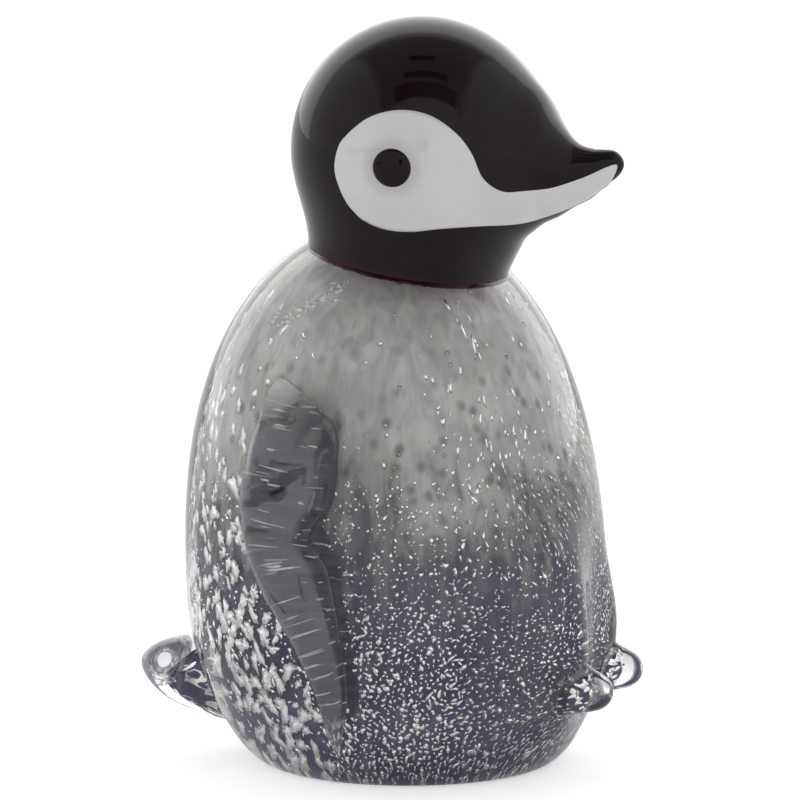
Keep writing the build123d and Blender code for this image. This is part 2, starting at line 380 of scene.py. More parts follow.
def layer_skin(depth, around, rows, low=None):
    """Closed surface of one layer from its floor, or a height, up to the seam or its own crown."""
    turn = np.linspace(0.0, 2 * np.pi, around, endpoint=False)[None, :]
    low = depth * CASING_FLOOR / CASING_WALL if low is None else low
    top = np.minimum(seam_height(turn, profile(NECK_HEIGHT, depth)), height_at(CROWN_FLAT, depth))
    arc = np.linspace(0.0, np.pi / 2, rows)[:, None]
    start = min(low, BELLY_HEIGHT)
    foot = start + (BELLY_HEIGHT - start) * (1 - np.cos(arc[::3])) + 0 * turn
    crown = BELLY_HEIGHT + (top - BELLY_HEIGHT) * np.sin(arc)
    heights = np.concatenate((foot, crown[1:]))
    heights = np.maximum(heights, low + np.linspace(0.0, 0.01, len(heights))[:, None])
    rings = body_point(turn, heights, depth)
    middle = np.array((0.0, lean(low), low))
    share = np.linspace(0.12, 0.98, 10)[:, None, None]
    floor = middle + (rings[0] - middle) * share
    crest = rings[-1].mean(axis=0)
    lid = crest + (rings[-1] - crest) * share[::-1]
    return closed_skin(np.concatenate((floor, rings, lid)), middle, crest)


def wing_line(share):
    """Turn in degrees of a wing's middle, its half width and its height, at shares up the wing."""
    middle = WING_TURN + WING_TURN_SPREAD * smooth_table(share, WING_SHARES, WING_TURNS)
    half = WING_HALF_WIDTH * smooth_table(share, WING_SHARES, WING_WIDTHS)
    return middle, half, WING_TIP + (WING_TOP - WING_TIP) * share


def wing_zone(points, front=-0.8):
    """Wing zone of each point: 1 under a wing, 0 away from it, from the wing's own outline."""
    turn = np.degrees(np.arctan2(-points[:, 0], -(points[:, 1] - lean(points[:, 2]))))
    share = (points[:, 2] - WING_TIP) / (WING_TOP - WING_TIP)
    middle, half, _ = wing_line(share)
    across = (np.abs(turn) - middle) / np.degrees(half / BELLY_RADIUS)
    inside = ease(front, front + 0.26, across) * (1 - ease(1.1, 1.6, across))
    return {"wing_zone": inside * ease(0.04, 0.16, share) * (1 - ease(0.72, 0.92, share))}


def make_body():
    """Clear casing, grey core and the white veil that caps the core."""
    casing = add_mesh("clear_casing_glass", *layer_skin(0.0, 320, 170), "clear_glass", ("clear_casing",))
    bed = CASING_WALL + LEAF_THICKNESS
    full, faces = layer_skin(bed, 260, 160)
    capped = layer_skin(bed + VEIL_THICKNESS, 260, 160)[0]
    points = full + (capped - full) * ease(VEIL_BOTTOM - 4.0, VEIL_BOTTOM, full[:, 2])[:, None]
    core = add_mesh("grey_core_glass", points, faces, "grey_glass", ("grey_core",), wing_zone(points))

    turn = np.linspace(0.0, 2 * np.pi, 260, endpoint=False)[None, :]
    arc = np.linspace(0.0, np.pi / 2, 120)[:, None]
    shells = []
    for depth in (bed, bed + VEIL_THICKNESS * 0.6):
        height = VEIL_BOTTOM + (height_at(CROWN_FLAT, depth) - VEIL_BOTTOM) * np.sin(arc) + 0 * turn
        shells.append(body_point(turn, height, depth))
    rings = np.concatenate((shells[0][::-1], shells[1]))
    skin = closed_skin(rings, shells[0][-1].mean(axis=0), shells[1][-1].mean(axis=0))
    veil = add_mesh("white_veil_glass", *skin, "white_glass", ("white_veil",), wing_zone(skin[0]))
    return casing, core, veil


# Leaf, specks and gas seeds

def meridian(depth):
    """Heights up a layer's side and the way along its surface to each."""
    low, top = depth * CASING_FLOOR / CASING_WALL, height_at(CROWN_FLAT, depth)
    z = low + (top - low) * np.sin(np.linspace(0.0, np.pi / 2, 700))
    step = np.hypot(np.diff(z), np.diff(profile(z, depth)))
    return z, np.concatenate(((0.0,), np.cumsum(step)))


def scatter(turn_low, turn_high, spacing, chance):
    """Evenly spaced places on the core, row by row up its side, kept with their own chance."""
    z_table, way_table = meridian(CASING_WALL)
    span = math.radians(turn_high - turn_low)
    turns, ways = [], []
    for way in np.arange(spacing, way_table[-1], spacing):
        radius = profile(np.interp(way, way_table, z_table), CASING_WALL)
        count = max(1, int(span * radius / spacing))
        slot = (np.arange(count) + rng.uniform(0.1, 0.9, count) + rng.random()) / count % 1
        turns.append(math.radians(turn_low) + span * slot)
        ways.append(way + spacing * rng.uniform(-0.4, 0.4, count))
    turn, way = np.concatenate(turns), np.concatenate(ways)
    z = np.interp(way, way_table, z_table)
    keep = rng.random(len(turn)) < chance(np.degrees(turn), z)
    return turn[keep], z[keep]


def flakes(turn, z, wide, tall, tilt, corners, roughness, depth=CASING_WALL, squeeze=1.0):
    """Thin closed flakes in a layer: a ragged, lobed outline, a face above and one below."""
    count = len(turn)
    angle = np.linspace(0.0, 2 * np.pi, corners, endpoint=False)[None, :]
    angle = angle + rng.uniform(-0.25, 0.25, (count, corners))
    phase = rng.uniform(0.0, 2 * np.pi, (2, count, 1))
    lobes = 1 + 0.24 * np.cos(2 * angle + phase[0]) + 0.18 * np.cos(3 * angle + phase[1])
    reach = lobes * (1 - roughness * rng.random((count, corners)))
    across, up = reach * np.cos(angle) * wide[:, None], reach * np.sin(angle) * tall[:, None]
    turned = squeeze * (across * np.cos(tilt)[:, None] - up * np.sin(tilt)[:, None])
    raised = across * np.sin(tilt)[:, None] + up * np.cos(tilt)[:, None]
    turned, raised = (np.concatenate((side, np.zeros((count, 1))), axis=1) for side in (turned, raised))
    z_table, way_table = meridian(depth)
    where = turn[:, None] + turned / profile(z, depth)[:, None]
    height = np.interp(np.interp(z, z_table, way_table)[:, None] + raised, way_table, z_table)
    upper = body_point(where, height, depth - 0.02)
    lower = body_point(where, height, depth + LEAF_THICKNESS + 0.03)
    points = np.concatenate((upper, lower), axis=1).reshape(-1, 3)
    ring = np.arange(corners)
    after = np.roll(ring, -1)
    hub, under = corners, corners + 1
    over = np.stack((ring, after, np.full(corners, hub)), axis=-1)
    beneath = np.stack((after + under, ring + under, np.full(corners, hub + under)), axis=-1)
    side = np.concatenate((
        np.stack((ring, ring + under, after), axis=-1),
        np.stack((after, ring + under, after + under), axis=-1)))
    one = np.concatenate((over, beneath, side))
    faces = (one[None] + (np.arange(count) * 2 * under)[:, None, None]).reshape(-1, 3)
    return points, faces


def joined(*parts):
    """One set of points and faces from several."""
    starts = np.cumsum([0] + [len(points) for points, _ in parts[:-1]])
    faces = np.concatenate([faces + start for (_, faces), start in zip(parts, starts)])
    return np.concatenate([points for points, _ in parts]), faces


def wing_share_at(degrees, z):
    """1 where a place lies under one of the wings."""
    return wing_zone(body_point(np.radians(degrees), z, CASING_WALL))["wing_zone"]


def back_zone(degrees, z):
    """1 in the field of large flakes down the back, whose edge moves back with the height."""
    side = np.abs((degrees + 180) % 360 - 180) - BACK_SHIFT * ease(*BACK_SHIFT_HEIGHTS, z)
    return ease(*BACK_EDGE, side)


def back_chance(degrees, z):
    """Chance of a large flake: dense down each side of the back, thinning upwards."""
    low = back_zone(degrees, z) * (1 - 0.3 * ease(20, 50, z)) * (1 - 0.7 * ease(60, 80, z))
    return 0.95 * low * (1 - ease(84, 92, z)) * (1 - wing_share_at(degrees, z))


def speck_room(degrees, z):
    """Share of the fine specks that the wings and the large flakes leave room for."""
    return (1 - 0.85 * wing_share_at(degrees, z)) * (1 - 0.72 * back_zone(degrees, z))


def low_chance(degrees, z):
    """Chance of a fine speck in the dense field round the foot of the body."""
    return (1 - ease(*SPECKS_CHANGE, z)) * speck_room(degrees, z)


def drawn_out(degrees):
    """1 where the specks are drawn into upright streaks, on each side of the belly's front."""
    return np.exp(-(((np.abs(degrees) - 30) / 20) ** 2))


def high_chance(degrees, z):
    """Chance of a fine speck higher up, where they thin out beside the drawn-out ones."""
    fade = ease(*SPECKS_CHANGE, z) * (1 - 0.3 * ease(34, 48, z)) * (1 - 0.8 * ease(50, 76, z))
    fade = fade * (1 - 0.6 * ease(52, 66, z) * (1 - drawn_out(degrees)))
    return 0.9 * fade * (1 - 0.7 * ease(86, 98, z)) * speck_room(degrees, z)


def wing_streaks(count, across, long):
    """Column of fine bright lines drawn across the glass under each wing."""
    share = np.linspace(0.14, 0.86, count) + rng.normal(0, 0.02, count)
    middle, width, z = wing_line(share)
    turn = np.radians(middle) + width * (across + rng.normal(0, 0.08, count)) / BELLY_RADIUS
    tilt = 0.06 - 0.45 * (1 - ease(0.3, 0.6, share)) + rng.normal(0, 0.06, count)
    wide = np.minimum(long * rng.uniform(0.2, 1.0, count) ** 1.3, 0.46 * width)
    tall = rng.uniform(0.09, 0.27, count)
    depth = LINING_DEPTH - LEAF_THICKNESS - 0.06
    lefts = flakes(-turn, z, wide, tall, -tilt, 9, 0.25, depth)
    return joined(flakes(turn, z, wide, tall, tilt, 9, 0.25, depth), lefts)


def shoulder_ribbon(count):
    """Broken ribbon of leaf near the casing's surface, which climbs towards the neck."""
    along = np.linspace(0.0, 1.0, count)
    turn = np.radians(RIBBON_TURN - RIBBON_SWEEP * along + rng.normal(0, 2.0, count))
    z = RIBBON_HEIGHT + RIBBON_CLIMB * along + rng.normal(0, 0.8, count)
    tilt = rng.uniform(-0.5, -0.1, count)
    wide, tall = rng.uniform(0.5, 1.5, count), rng.uniform(0.3, 0.75, count)
    return flakes(turn, z, wide, tall, tilt, 13, 0.5, RIBBON_DEPTH)


def make_leaf():
    """Large crackled flakes with the fine streaks and the ribbon, then two fields of specks."""
    turn, z = scatter(*FLAKE_TURNS, FLAKE_SPACING, back_chance)
    size = rng.uniform(1.0, 2.2, len(turn)) * (1.1 - 0.2 * ease(10, 80, z))
    wide, tall = size * rng.uniform(0.55, 0.85, len(turn)), size * rng.uniform(0.8, 1.3, len(turn))
    large = flakes(turn, z, wide, tall, rng.uniform(-0.6, 0.6, len(turn)), 21, 0.45)
    ribbon = shoulder_ribbon(RIBBON_FLAKES)
    shapes = joined(large, ribbon, *(wing_streaks(*column) for column in STREAK_COLUMNS))
    leaf = add_mesh("silver_leaf_flakes", *shapes, "silver_leaf", ("silver_leaf",))
    low = make_specks("low_leaf_specks", LOW_SPACING, low_chance)
    return leaf, low, make_specks("high_leaf_specks", HIGH_SPACING, high_chance)


def make_specks(name, spacing, chance):
    """Field of fine specks: crumbs low down, drawn into upright streaks above the belly's front."""
    turn, z = scatter(-180, 180, spacing, chance)
    count = len(turn)
    stretch = drawn_out(np.degrees(turn)) * ease(36, 50, z)
    size = (0.3 + 0.52 * rng.random(count) ** 2) * (1.2 - 0.34 * ease(8, 44, z))
    tall = size * (1 + rng.random(count) * (0.5 + 3.6 * stretch))
    tilt = rng.uniform(-1.6, 1.6, count) * (1 - 0.9 * stretch) * (1 - 0.6 * ease(30, 60, z))
    specks = flakes(turn, z, size * rng.uniform(0.6, 1.0, count), tall, tilt, 7, 0.62, squeeze=LENS_SQUEEZE)
    return add_mesh(name, *specks, "silver_leaf")


def ball_mesh(centres, radii, around=12, rows=7):
    """Many round balls at once, each from rings of latitude and two poles."""
    rise = np.linspace(-np.pi / 2, np.pi / 2, rows + 2)[1:-1, None]
    spin = np.linspace(0.0, 2 * np.pi, around, endpoint=False)[None, :]
    ring = (np.cos(rise) * np.cos(spin), np.cos(rise) * np.sin(spin), np.sin(rise) + 0 * spin)
    one, faces = closed_skin(np.stack(ring, axis=-1), (0.0, 0.0, -1.0), (0.0, 0.0, 1.0))
    points = (centres[:, None, :] + one[None] * radii[:, None, None]).reshape(-1, 3)
    faces = (faces[None] + (np.arange(len(centres)) * len(one))[:, None, None]).reshape(-1, 4)
    return points, faces


def make_seeds():
    """Gas seeds: round bubbles caught in the clear casing."""
    turn = np.radians(rng.uniform(-180, 180, SEED_COUNT))
    z = rng.uniform(*SEED_HEIGHTS, SEED_COUNT)
    radii = 0.2 + 0.42 * rng.random(SEED_COUNT) ** 2
    centres = body_point(turn, z, rng.uniform(*SEED_DEPTHS, SEED_COUNT))
    return add_mesh("gas_seeds", *ball_mesh(centres, radii), "clear_glass")


# Head

def blend_union(a, b, width):
    """Union of two distance fields with a fillet of about that width."""
    h = np.clip(0.5 + 0.5 * (b - a) / width, 0.0, 1.0)
    return b + (a - b) * h - width * h * (1 - h)


def head_field(p):
    """Below zero inside the head: skull ball, neck skirt and beak, blended."""
    x, y, z = p[..., 0], p[..., 1], p[..., 2]
    skull = np.linalg.norm(p - SKULL, axis=-1) - SKULL_RADIUS

    across_seam = (z - NECK_HEIGHT) * math.cos(NECK_TILT) - y * math.sin(NECK_TILT)
    slant = y * math.tan(NECK_TILT)
    share = np.clip((z - NECK_HEIGHT - slant) / (SKULL_RISE - slant), -0.1, 1.0)
    swell = np.sin(np.pi / 2 * share.clip(0.0, 1.0)) ** NECK_POWER + np.minimum(share, 0.0)
    radius = NECK_RADIUS + (SKULL_RADIUS - NECK_RADIUS) * swell
    forward = SKULL_FORWARD * share + NECK_BULGE * np.sin(np.pi * share)
    neck = np.maximum(np.hypot(x, y + forward) - radius, z - SKULL[2])

    forward = -(y - SKULL[1]) / BEAK_REACH
    wide = SKULL_RADIUS * smooth_table(forward, BEAK_SHARES, BEAK_WIDTHS)
    tall = SKULL_RADIUS * smooth_table(forward, BEAK_SHARES, BEAK_HEIGHTS)
    droop = BEAK_DROOP * smooth_table(forward, BEAK_SHARES, BEAK_DROOPS)
    cap = np.sqrt(np.clip(1 - ((forward - BEAK_CAP) / (1 - BEAK_CAP)).clip(0, 1) ** 2, 1e-6, 1))
    middle = SKULL[2] - TIP_DROP * forward - droop
    ratio = np.sqrt((x / (wide * cap)) ** 2 + ((z - middle) / (tall * cap)) ** 2)
    beak = (ratio - 1) * np.minimum(wide, tall) * cap
    beak = np.where(forward < BEAK_SHARES[0], 50.0, beak)

    whole = blend_union(np.minimum(skull, neck), beak, BEAK_FILLET)
    return np.maximum(whole, -across_seam - NECK_SINK)


def make_head():
    """Head: where rays from inside the skull, set round the line to the beak's tip, leave the field."""
    eye = SKULL + np.array((0.0, -4.0, -1.0))
    tip = np.array((0.0, SKULL[1] - BEAK_REACH, SKULL[2] - TIP_DROP))
    axis = (tip - eye) / np.linalg.norm(tip - eye)
    side = np.array((1.0, 0.0, 0.0))
    up = np.cross(side, axis)
    polar = (np.pi * np.linspace(0.0, 1.0, 250)[1:-1] ** 1.7)[:, None, None]
    spin = np.linspace(0.0, 2 * np.pi, 240, endpoint=False)[None, :, None]
    ray = axis * np.cos(polar) + np.sin(polar) * (side * np.cos(spin) + up * np.sin(spin))

    def surface(rays):
        start = np.zeros(rays.shape[:-1])
        reach = solve(lambda t: head_field(eye + rays * t[..., None]) < 0, start, start + HEAD_SPAN)
        return eye + rays * reach[..., None]

    skin = closed_skin(surface(ray), surface(axis), surface(-axis))
    return add_mesh("black_glass_head", *skin, "black_glass", ("head",))


def head_side(y, z, side):
    """Point of the head's surface on one side, and the outward normal there."""
    def at(x):
        return np.stack((side * x, y, z), axis=-1)
    x = solve(lambda t: head_field(at(t)) < 0, np.zeros_like(y), np.full_like(y, SKULL_RADIUS + 4.0))
    p = at(x)
    step = 0.05
    slope = [head_field(p + step * np.eye(3)[k]) - head_field(p - step * np.eye(3)[k]) for k in range(3)]
    normal = np.stack(slope, axis=-1)
    return p, normal / np.linalg.norm(normal, axis=-1, keepdims=True)


def loop_curve(points, t):
    """Cubic through evenly counted points of a closed loop, at each t in points."""
    count = len(points)
    k = np.floor(t).astype(int)
    s = (t - k)[:, None]
    a, b, c, d = (points[(k + j) % count] for j in (-1, 0, 1, 2))
    return b + 0.5 * s * (c - a + s * (2 * a - 5 * b + 4 * c - d + s * (3 * (b - c) + d - a)))


def make_inlay(name, node, side):
    """Cheek inlay: rungs across its outline, laid on the head and given a thickness."""
    last = len(INLAY_TOP) - 1
    outline = np.concatenate((INLAY_TOP, INLAY_BOTTOM[-2:0:-1])) * SKULL_RADIUS + SKULL[1:]
    share = 0.5 - 0.5 * np.cos(np.linspace(0.0, np.pi, 162)[1:-1])
    top = loop_curve(outline, last * share)
    bottom = loop_curve(outline, len(outline) - last * share)
    rung = np.linspace(0.0, 1.0, 40)[None, :, None]
    flat = top[:, None, :] * (1 - rung) + bottom[:, None, :] * rung
    surface, normal = head_side(flat[..., 0], flat[..., 1], side)
    back = (surface - INLAY_DEPTH * normal)[:, ::-1]
    rings = np.concatenate((surface + INLAY_PROUD * normal, back), axis=1)
    ends = [head_side(np.array(outline[k][0]), np.array(outline[k][1]), side)[0] for k in (0, last)]
    return add_mesh(name, *closed_skin(rings, *ends), "opal_white_glass", (node,))


def make_eye(name, node, side):
    """Domed dot: a round cap whose edge curls into the inlay."""
    place, normal = head_side(np.array(SKULL[1] - EYE_FORWARD), np.array(SKULL[2] + EYE_RISE), side)
    first = np.cross(normal, (0.0, 0.0, 1.0))
    first /= np.linalg.norm(first)
    second = np.cross(normal, first)
    arc = np.linspace(0.0, np.pi / 2, 26)[1:, None, None]
    spin = np.linspace(0.0, 2 * np.pi, 72, endpoint=False)[None, :, None]
    ring = first * np.cos(spin) + second * np.sin(spin)
    sunk = EYE_RADIUS**2 / (2 * SKULL_RADIUS)
    dome = place + ring * EYE_RADIUS * np.sin(arc) + normal * ((EYE_PROUD + sunk) * np.cos(arc) ** 1.3 - sunk)
    heart = place - normal * (sunk + EYE_BACK)
    back = heart + ring * EYE_RADIUS * np.linspace(1.0, 0.2, 5)[:, None, None]
    skin = closed_skin(np.concatenate((dome, back)), place + normal * EYE_PROUD, heart)
    return add_mesh(name, *skin, "black_glass", (node,))


# Wings, feet and tail

def make_wing(name, node, side):
    """Wing: a lens-like swelling along a bent middle line, sunk a little into the casing."""
    along = (0.5 - 0.5 * np.cos(np.linspace(0.0, np.pi, 152)))[1:-1, None]
    share = along * WING_REACH
    close = np.sqrt(1 - (2 * along - 1) ** 8)
    middle, half, z = wing_line(share)
    middle, half = np.radians(middle), half * close
    swell = WING_SWELL * smooth_table(share, WING_SHARES, WING_SWELLS) * close
    over, under = np.linspace(-1.0, 1.0, 57)[None, :], np.linspace(1.0, -1.0, 25)[None, :]

    def lay(across, lift):
        turn = side * (middle + across * half / profile(z, 0.0))
        return body_point(turn, z + 0 * across, 0.0, lift)

    power = WING_EDGE_POWER + WING_SOFT_EDGE * ease(0.5, -1.0, over)
    top = lay(over, swell * (1 - over**2) ** power - 0.06)
    low = lay(under * 0.985, -WING_SINK + 0 * under * half)
    rings = np.concatenate((top, low), axis=1)
    ends = [lay(np.zeros((1, 1)), np.full((len(share), 1), -WING_SINK / 2))[k, 0] for k in (0, -1)]
    return add_mesh(name, *closed_skin(rings, *ends), "clear_glass", (node,))


def make_lining(name, side):
    """Smooth violet glass under a wing: a thin sheet laid along the wing's own outline."""
    middle, half, z = wing_line(np.linspace(*LINING_SHARES, 120)[:, None])
    middle, half = np.radians(middle), half * LINING_WIDTH

    def lay(across, depth):
        return body_point(side * (middle + across * half / profile(z, 0.0)), z + 0 * across, depth)

    over, under = np.linspace(-1.0, 1.0, 40)[None, :], np.linspace(1.0, -1.0, 40)[None, :]
    rings = np.concatenate((lay(over, LINING_DEPTH), lay(under, LINING_DEPTH + LINING_THICKNESS)), axis=1)
    ends = [lay(np.zeros((1, 1)), LINING_DEPTH + LINING_THICKNESS / 2)[k, 0] for k in (0, -1)]
    points, faces = closed_skin(rings, *ends)
    return add_mesh(name, points, faces, "grey_glass", (), wing_zone(points, -1.0))


def body_face(x, z, way):
    """Y of the body's surface in front (way -1) or behind (way 1), at a side step and height."""
    reach = profile(z, 0.0)
    turn = np.arcsin(np.clip(-x / reach, -1.0, 1.0))
    if way < 0:
        reach = reach - cleft(turn, z) + legs(turn, z)
    return lean(z) + way * reach * np.cos(turn)


def make_nub(name, node, x, z, way, tip, wide, tall, power, flare, rise):
    """Nub drawn out of the body: rings that narrow as a superellipse from a flared root to its end."""
    base = body_face(np.array(x), np.array(z), way)
    length = abs(tip - base)
    out = np.concatenate((length * np.sin(np.linspace(np.pi / 2, 0.0, 70)[1:]), (-NUB_SINK,)))[:, None]
    ahead = np.clip(out, 0.0, None) / length
    cap = (1 - ahead**power) ** (1 / power)
    grow = flare * np.exp(-ahead / 0.22) * cap
    spin = np.linspace(0.0, 2 * np.pi, 96, endpoint=False)[None, :]
    px = x + (wide * cap + grow) * np.cos(spin)
    pz = z + rise * ahead + (tall * cap + grow) * np.sin(spin)
    hug = 1 - ease(0.0, 0.7, ahead)
    py = (base + way * out) * (1 - hug) + (body_face(px, pz, way) + way * out) * hug
    rings = np.stack((px, py, pz), axis=-1)
    inward = np.linspace(1.0, 0.1, 8)[1:, None]
    fx = x + (px[-1] - x) * inward
    fz = pz[-1].mean() + (pz[-1] - pz[-1].mean()) * inward
    floor = np.stack((fx, body_face(fx, fz, way) - way * NUB_SINK, fz), axis=-1)
    end = np.array((x, tip, z + rise))
    heart = floor[-1].mean(axis=0)
    return add_mesh(name, *closed_skin(np.concatenate((rings, floor)), end, heart), "clear_glass", (node,))


def make_painted_tail_rings():
    """Painted highlight and refraction in the tail: flat rings round its bright eye, one inside another, that
    paint the tail's loop of highlight and its dark refracted ring.
    """
    spin = np.linspace(0.0, 2 * np.pi, 72, endpoint=False)[:, None]
    tube = np.linspace(0.0, 2 * np.pi, 14, endpoint=False)[None, :]
    index = np.arange(spin.size * tube.size).reshape(spin.size, tube.size)
    ahead = np.roll(index, -1, axis=0)
    faces = np.stack((index, ahead, np.roll(ahead, -1, axis=1), np.roll(index, -1, axis=1)), axis=-1)
    faces = faces.reshape(-1, 4)
    rings = []
    for share, band in SWIRL_RINGS:
        thickness = band * np.cos(tube) * (1.3 + 0.5 * np.sin(spin))
        reach = SWIRL_RADIUS * share * (1 + 0.1 * np.cos(spin - 2.2)) + thickness
        x = SWIRL_WIDTH * share * np.sin(tube) + 0 * spin
        y = SWIRL_CENTRE[1] + reach * np.cos(spin)
        z = SWIRL_CENTRE[2] + reach * np.sin(spin) * SWIRL_SQUASH
        rings.append((np.stack((x, y, z), axis=-1).reshape(-1, 3), faces))
    return add_mesh("tail_painted_highlight_rings", *joined(*rings), "grey_glass")


# Node helpers

class Tree:
    """Adds nodes to one node tree and links what they are given."""

    def __init__(self, tree):
        self.tree = tree

    def feed(self, node, inputs):
        """Links sockets to a node's inputs, and sets plain values on the inputs themselves."""
        for key, value in inputs.items():
            if isinstance(value, bpy.types.NodeSocket):
                self.tree.links.new(value, node.inputs[key])
            else:
                node.inputs[key].default_value = value
        return node

    def add(self, kind, inputs=None, **settings):
        made = self.tree.nodes.new(kind)
        for key, value in settings.items():
            setattr(made, key, value)
        return self.feed(made, inputs or {})

    def math(self, operation, a, b=0.0, c=0.0):
        return self.add("ShaderNodeMath", {0: a, 1: b, 2: c}, operation=operation).outputs[0]

    def vector(self, operation, a, b):
        return self.add("ShaderNodeVectorMath", {0: a, 1: b}, operation=operation)

    def ramp(self, value, low, high, start=0.0, end=1.0):
        """Smooth change from start to end as the value goes from low to high."""
        inputs = {"Value": value, "From Min": low, "From Max": high, "To Min": start, "To Max": end}
        return self.add("ShaderNodeMapRange", inputs, interpolation_type="SMOOTHSTEP").outputs["Result"]

    def mix(self, share, a, b):
        """Colour between a and b, each a socket or three plain values."""
        a, b = (side if isinstance(side, bpy.types.NodeSocket) else (*side, 1.0) for side in (a, b))
        return self.add("ShaderNodeMix", {0: share, 6: a, 7: b}, data_type="RGBA").outputs[2]

    def noise(self, where, scale, detail=3.0, roughness=0.5, distortion=0.0):
        inputs = {"Vector": where, "Scale": scale, "Detail": detail}
        inputs.update({"Roughness": roughness, "Distortion": distortion})
        return self.add("ShaderNodeTexNoise", inputs).outputs["Fac"]

    def bump(self, shader, height, strength, distance):
        """Fine relief of a shader, with its distance in millimetres."""
        inputs = {"Height": height, "Strength": strength, "Distance": distance * MM}
        self.feed(shader, {"Normal": self.add("ShaderNodeBump", inputs).outputs["Normal"]})

    def axis(self, where, name):
        return self.add("ShaderNodeSeparateXYZ", {"Vector": where}).outputs[name]

    def zone(self):
        """The wing zone that the piece carries."""
        return self.add("ShaderNodeAttribute", attribute_name="wing_zone").outputs["Fac"]

    def seen(self):
        """1 for what the camera sees itself, 0 for light by way of other surfaces."""
        return self.add("ShaderNodeLightPath").outputs["Is Camera Ray"]

    def place(self, stretch=(1.0, 1.0, 1.0)):
        """Object coordinates in millimetres, stretched along each axis."""
        coords = self.add("ShaderNodeTexCoord").outputs["Object"]
        scale = tuple(s / MM for s in stretch)
        return self.add("ShaderNodeMapping", {"Vector": coords, "Scale": scale}).outputs["Vector"]


def new_material(name):
    """Material with a Principled shader, and the helper for its tree."""
    material = bpy.data.materials.new(name)
    material.use_nodes = True
    tree = Tree(material.node_tree)
    return material, tree, material.node_tree.nodes["Principled BSDF"]


def melt_group():
    """Shared unevenness of hand-worked glass: a height and a mask that drift over the surface."""
    group = bpy.data.node_groups.new("melt_waves", "ShaderNodeTree")
    for name, way in (("Size", "INPUT"), ("Height", "OUTPUT"), ("Mask", "OUTPUT")):
        group.interface.new_socket(name=name, in_out=way, socket_type="NodeSocketFloat")
    tree = Tree(group)
    scale = tree.math("DIVIDE", 1.0, tree.add("NodeGroupInput").outputs["Size"])
    slow = tree.noise(tree.place(), scale, 2.0, 0.4)
    fine = tree.noise(tree.place((1.0, 1.0, 0.35)), tree.math("MULTIPLY", scale, 3.1), 2.0, 0.5)
    height = tree.math("MULTIPLY_ADD", fine, 0.25, slow)
    tree.add("NodeGroupOutput", {"Height": height, "Mask": tree.ramp(slow, 0.35, 0.65)})
    return group


MELT = melt_group()


def add_melt(tree, shader, size, distance, strength=0.35):
    """Gives a shader the slow waves of fire-polished glass, and returns their mask."""
    waves = tree.add("ShaderNodeGroup", {"Size": size}, node_tree=MELT)
    tree.bump(shader, waves.outputs["Height"], strength, distance)
    return waves.outputs["Mask"]


def clear_glass():
    """Clear casing glass: a faint cool tint that drifts, and slow waves."""
    material, tree, shader = new_material("clear_fire_polished_glass")
    mask = add_melt(tree, shader, 9.0, 0.22)
    tint = tree.mix(mask, (0.985, 0.985, 0.99), (0.955, 0.965, 0.975))
    tree.feed(shader, {"Base Color": tint, "Roughness": tree.ramp(mask, 0.0, 1.0, 0.0, 0.02)})
    tree.feed(shader, {"Transmission Weight": 1.0, "IOR": GLASS_INDEX})
    return material


def seed_gas():
    """Gas in a seed: the bend of light is the casing's turned round."""
    material, tree, shader = new_material("gas_in_glass")
    tint = tree.mix(tree.noise(tree.place(), 0.8), (1.0, 1.0, 1.0), (0.93, 0.94, 0.96))
    tree.feed(shader, {"Base Color": tint, "Roughness": 0.0})
    tree.feed(shader, {"Transmission Weight": 1.0, "IOR": 1 / GLASS_INDEX})
    return material


def smooth_violet(tree):
    """Smooth dark glass under a wing: soft bands, and fine gleams drawn across it."""
    bands = tree.noise(tree.place((0.12, 0.12, 1.0)), 0.55, 4.0, 0.6)
    smooth = tree.mix(tree.ramp(bands, 0.36, 0.66), (0.020, 0.016, 0.044), (0.074, 0.064, 0.114))
    gleam = tree.noise(tree.place((0.16, 0.16, 1.7)), 0.5)
    return tree.mix(tree.ramp(gleam, 0.655, 0.70), smooth, (0.50, 0.50, 0.53))


def core_colour(tree):
    """Grey-violet core: dark soft cells, drawn-out streaks and a smooth darker zone under each wing."""
    where = tree.place()
    drift = tree.noise(where, 0.07, 3.0, 0.55)
    streaks = tree.noise(tree.place((1.0, 1.0, 0.22)), 0.34, 4.0, 0.6, 0.6)
    high = tree.ramp(tree.math("MULTIPLY_ADD", drift, 40.0, tree.axis(where, "Z")), 44.0, 98.0)
    violet = tree.mix(tree.ramp(drift, 0.35, 0.65), (0.056, 0.047, 0.112), (0.108, 0.094, 0.172))
    grey = tree.mix(tree.ramp(streaks, 0.35, 0.68), (0.15, 0.14, 0.155), (0.29, 0.28, 0.265))
    base = tree.mix(high, violet, grey)
    base = tree.mix(tree.math("MULTIPLY", tree.ramp(streaks, 0.5, 0.72), 0.45), base, (0.27, 0.26, 0.28))
    return tree.mix(tree.zone(), base, smooth_violet(tree))


def lining_glass():
    """Smooth violet glass under a wing, which fades out towards its edges and its top."""
    material, tree, shader = new_material("smooth_violet_glass")
    tree.feed(shader, {"Base Color": smooth_violet(tree), "Alpha": tree.zone(), **FUSED})
    return material


def painted_tail_highlight_material():
    """Pale violet with fine darker threads: a painted highlight loop and a painted dark refracted ring inside
    the clear tail.
    """
    material, tree, shader = new_material("painted_tail_highlight_glass")
    painted_ring_bands = tree.noise(tree.place((1.0, 2.2, 2.2)), 0.5, 3.0, 0.6, 1.2)
    colour = tree.mix(tree.ramp(painted_ring_bands, 0.36, 0.64), (0.30, 0.28, 0.38), (0.70, 0.68, 0.74))
    cover = tree.ramp(painted_ring_bands, 0.4, 0.62, 0.75, 0.2)
    tree.feed(shader, {"Base Color": colour, "Alpha": cover, "Roughness": 0.5, "Specular IOR Level": 0.0})
    return material


def grey_glass():
    """Core under the casing: no gloss of its own, because it is fused to clear glass."""
    material, tree, shader = new_material("grey_violet_core_glass")
    tree.feed(shader, {"Base Color": core_colour(tree), **FUSED})
    return material


